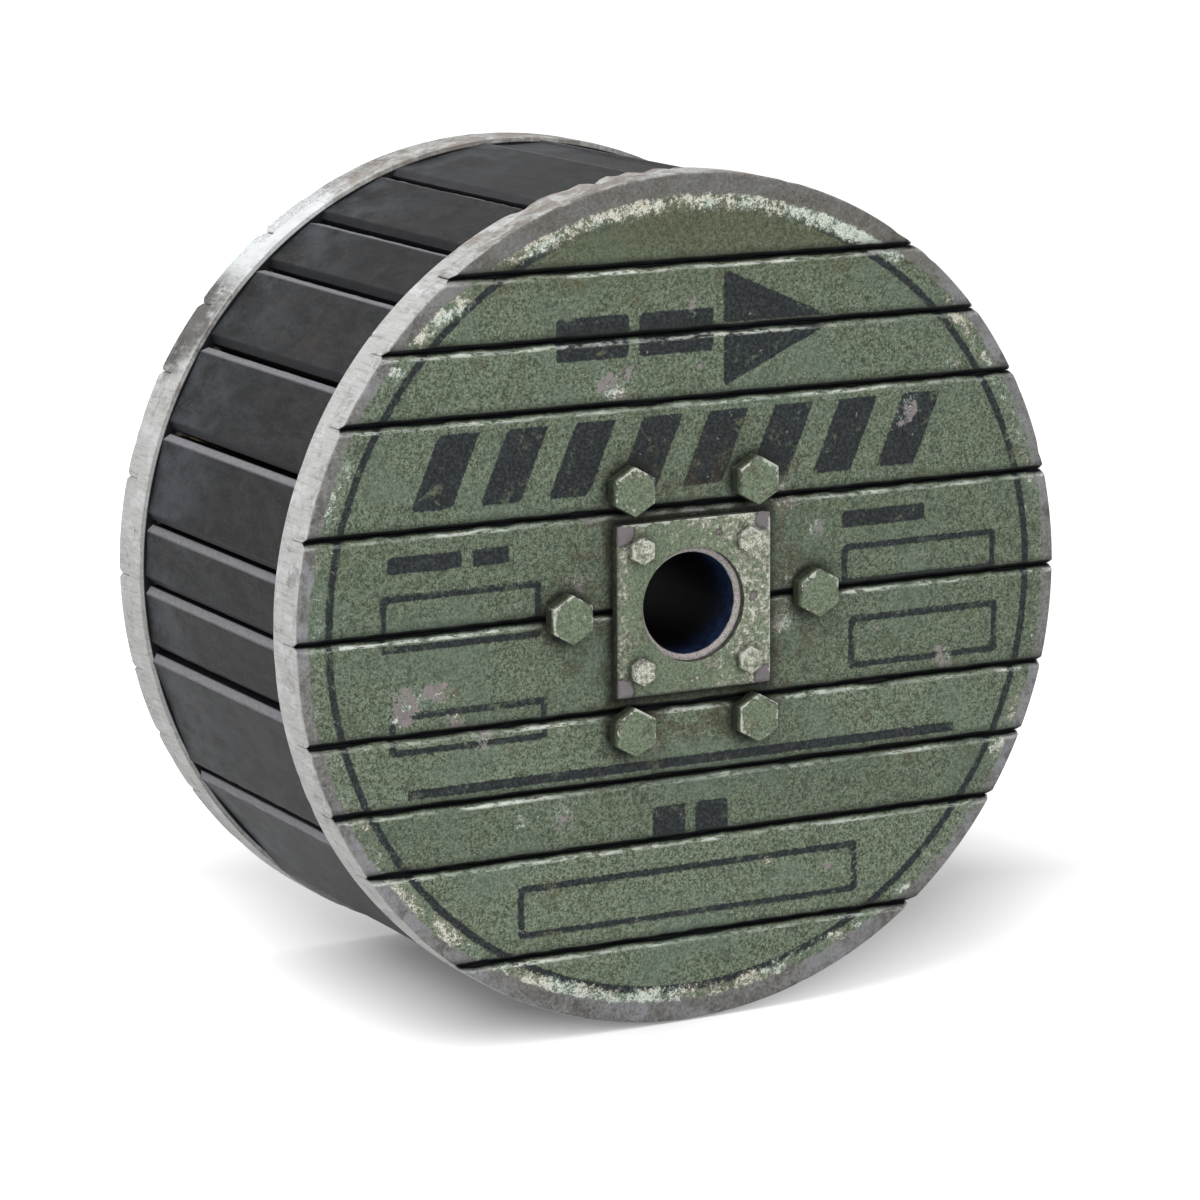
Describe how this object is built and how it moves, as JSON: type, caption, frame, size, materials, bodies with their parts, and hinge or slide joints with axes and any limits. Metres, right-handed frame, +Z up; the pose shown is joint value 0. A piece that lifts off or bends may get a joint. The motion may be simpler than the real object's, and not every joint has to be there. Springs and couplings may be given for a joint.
{
  "type": "cable drum",
  "caption": "Wooden cable drum: two round boarded flanges bolted onto a barrel of staves, with a steel spindle tube, square hub plates and lagging boards closing the winding space.",
  "frame": {"origin": "on the spindle axis, midway between the outer faces of the two flanges", "axes": "+Y along the spindle axis, from the front flange (with the bolt heads) to the rear flange (with the nuts); +Z up as the drum lies on its rims; the front face looks along -Y"},
  "size_m": [0.6, 0.3475, 0.6],
  "materials": {
    "green_painted_boards": "worn matt olive green paint on sawn boards, chipped to pale undercoat and bare wood",
    "bare_flange_timber": "bare weathered grey timber with end grain at the rim",
    "dark_painted_lagging": "matt charcoal stain on sawn boards, dusty at the ends",
    "barrel_timber": "bare planed softwood",
    "green_painted_plate": "worn matt olive green paint, chipped to pale undercoat",
    "green_painted_screws": "worn matt olive green paint, bare on the corners",
    "green_painted_bolts": "worn matt olive green paint, bare on the corners",
    "dark_painted_tube": "dark blue-black paint, rubbed pale at the lip"
  },
  "bodies": {
    "drum": {"barrel_staves": "barrel_timber", "front_barrel_former": "barrel_timber", "front_flange_board_01": "green_painted_boards", "front_flange_board_02": "green_painted_boards", "front_flange_board_03": "green_painted_boards", "front_flange_board_04": "green_painted_boards", "front_flange_board_05": "green_painted_boards", "front_flange_board_06": "green_painted_boards", "front_flange_board_07": "green_painted_boards", "front_flange_board_08": "green_painted_boards", "front_flange_board_09": "green_painted_boards", "front_flange_board_10": "green_painted_boards", "front_hub_plate": "green_painted_plate", "front_hub_screws": "green_painted_screws", "front_inner_ply": "bare_flange_timber", "front_lagging_bearers": "barrel_timber", "rear_barrel_former": "barrel_timber", "rear_flange_board_01": "green_painted_boards", "rear_flange_board_02": "green_painted_boards", "rear_flange_board_03": "green_painted_boards", "rear_flange_board_04": "green_painted_boards", "rear_flange_board_05": "green_painted_boards", "rear_flange_board_06": "green_painted_boards", "rear_flange_board_07": "green_painted_boards", "rear_flange_board_08": "green_painted_boards", "rear_flange_board_09": "green_painted_boards", "rear_flange_board_10": "green_painted_boards", "rear_hub_plate": "green_painted_plate", "rear_hub_screws": "green_painted_screws", "rear_inner_ply": "bare_flange_timber", "rear_lagging_bearers": "barrel_timber", "spindle_tube": "dark_painted_tube", "tie_bolts": "green_painted_bolts", "tie_nuts": "green_painted_bolts", "tie_washers": "green_painted_bolts"},
    "lagging_01": {"lagging_board_01": "dark_painted_lagging"},
    "lagging_02": {"lagging_board_02": "dark_painted_lagging"},
    "lagging_03": {"lagging_board_03": "dark_painted_lagging"},
    "lagging_04": {"lagging_board_04": "dark_painted_lagging"},
    "lagging_05": {"lagging_board_05": "dark_painted_lagging"},
    "lagging_06": {"lagging_board_06": "dark_painted_lagging"},
    "lagging_07": {"lagging_board_07": "dark_painted_lagging"},
    "lagging_08": {"lagging_board_08": "dark_painted_lagging"},
    "lagging_09": {"lagging_board_09": "dark_painted_lagging"},
    "lagging_10": {"lagging_board_10": "dark_painted_lagging"},
    "lagging_11": {"lagging_board_11": "dark_painted_lagging"},
    "lagging_12": {"lagging_board_12": "dark_painted_lagging"},
    "lagging_13": {"lagging_board_13": "dark_painted_lagging"},
    "lagging_14": {"lagging_board_14": "dark_painted_lagging"},
    "lagging_15": {"lagging_board_15": "dark_painted_lagging"},
    "lagging_16": {"lagging_board_16": "dark_painted_lagging"},
    "lagging_17": {"lagging_board_17": "dark_painted_lagging"},
    "lagging_18": {"lagging_board_18": "dark_painted_lagging"},
    "lagging_19": {"lagging_board_19": "dark_painted_lagging"},
    "lagging_20": {"lagging_board_20": "dark_painted_lagging"},
    "lagging_21": {"lagging_board_21": "dark_painted_lagging"},
    "lagging_22": {"lagging_board_22": "dark_painted_lagging"},
    "lagging_23": {"lagging_board_23": "dark_painted_lagging"}
  },
  "joints": [
    {"name": "lagging_01_pull", "type": "slide", "parent": "drum", "child": "lagging_01", "axis": [0.2317, 0, 0.9728], "range_m": [0, 0.06]},
    {"name": "lagging_02_pull", "type": "slide", "parent": "drum", "child": "lagging_02", "axis": [0.0087, 0, 1], "range_m": [0, 0.06]},
    {"name": "lagging_03_pull", "type": "slide", "parent": "drum", "child": "lagging_03", "axis": [-0.2011, 0, 0.9796], "range_m": [0, 0.06]},
    {"name": "lagging_04_pull", "type": "slide", "parent": "drum", "child": "lagging_04", "axis": [-0.4321, 0, 0.9018], "range_m": [0, 0.06]},
    {"name": "lagging_05_pull", "type": "slide", "parent": "drum", "child": "lagging_05", "axis": [-0.6011, 0, 0.7992], "range_m": [0, 0.06]},
    {"name": "lagging_06_pull", "type": "slide", "parent": "drum", "child": "lagging_06", "axis": [-0.7536, 0, 0.6574], "range_m": [0, 0.06]},
    {"name": "lagging_07_pull", "type": "slide", "parent": "drum", "child": "lagging_07", "axis": [-0.8858, 0, 0.4641], "range_m": [0, 0.06]},
    {"name": "lagging_08_pull", "type": "slide", "parent": "drum", "child": "lagging_08", "axis": [-0.9684, 0, 0.2495], "range_m": [0, 0.06]},
    {"name": "lagging_09_pull", "type": "slide", "parent": "drum", "child": "lagging_09", "axis": [-0.9981, 0, 0.061], "range_m": [0, 0.06]},
    {"name": "lagging_10_pull", "type": "slide", "parent": "drum", "child": "lagging_10", "axis": [-0.9951, 0, -0.0985], "range_m": [0, 0.06]},
    {"name": "lagging_11_pull", "type": "slide", "parent": "drum", "child": "lagging_11", "axis": [-0.9412, 0, -0.3379], "range_m": [0, 0.06]},
    {"name": "lagging_12_pull", "type": "slide", "parent": "drum", "child": "lagging_12", "axis": [-0.7722, 0, -0.6354], "range_m": [0, 0.06]},
    {"name": "lagging_13_pull", "type": "slide", "parent": "drum", "child": "lagging_13", "axis": [-0.5128, 0, -0.8585], "range_m": [0, 0.06]},
    {"name": "lagging_14_pull", "type": "slide", "parent": "drum", "child": "lagging_14", "axis": [-0.2105, 0, -0.9776], "range_m": [0, 0.06]},
    {"name": "lagging_15_pull", "type": "slide", "parent": "drum", "child": "lagging_15", "axis": [0.0802, 0, -0.9968], "range_m": [0, 0.06]},
    {"name": "lagging_16_pull", "type": "slide", "parent": "drum", "child": "lagging_16", "axis": [0.3641, 0, -0.9314], "range_m": [0, 0.06]},
    {"name": "lagging_17_pull", "type": "slide", "parent": "drum", "child": "lagging_17", "axis": [0.6435, 0, -0.7655], "range_m": [0, 0.06]},
    {"name": "lagging_18_pull", "type": "slide", "parent": "drum", "child": "lagging_18", "axis": [0.8368, 0, -0.5476], "range_m": [0, 0.06]},
    {"name": "lagging_19_pull", "type": "slide", "parent": "drum", "child": "lagging_19", "axis": [0.9591, 0, -0.2832], "range_m": [0, 0.06]},
    {"name": "lagging_20_pull", "type": "slide", "parent": "drum", "child": "lagging_20", "axis": [0.9992, 0, 0.0393], "range_m": [0, 0.06]},
    {"name": "lagging_21_pull", "type": "slide", "parent": "drum", "child": "lagging_21", "axis": [0.9339, 0, 0.3576], "range_m": [0, 0.06]},
    {"name": "lagging_22_pull", "type": "slide", "parent": "drum", "child": "lagging_22", "axis": [0.77, 0, 0.6381], "range_m": [0, 0.06]},
    {"name": "lagging_23_pull", "type": "slide", "parent": "drum", "child": "lagging_23", "axis": [0.5225, 0, 0.8526], "range_m": [0, 0.06]}
  ]
}
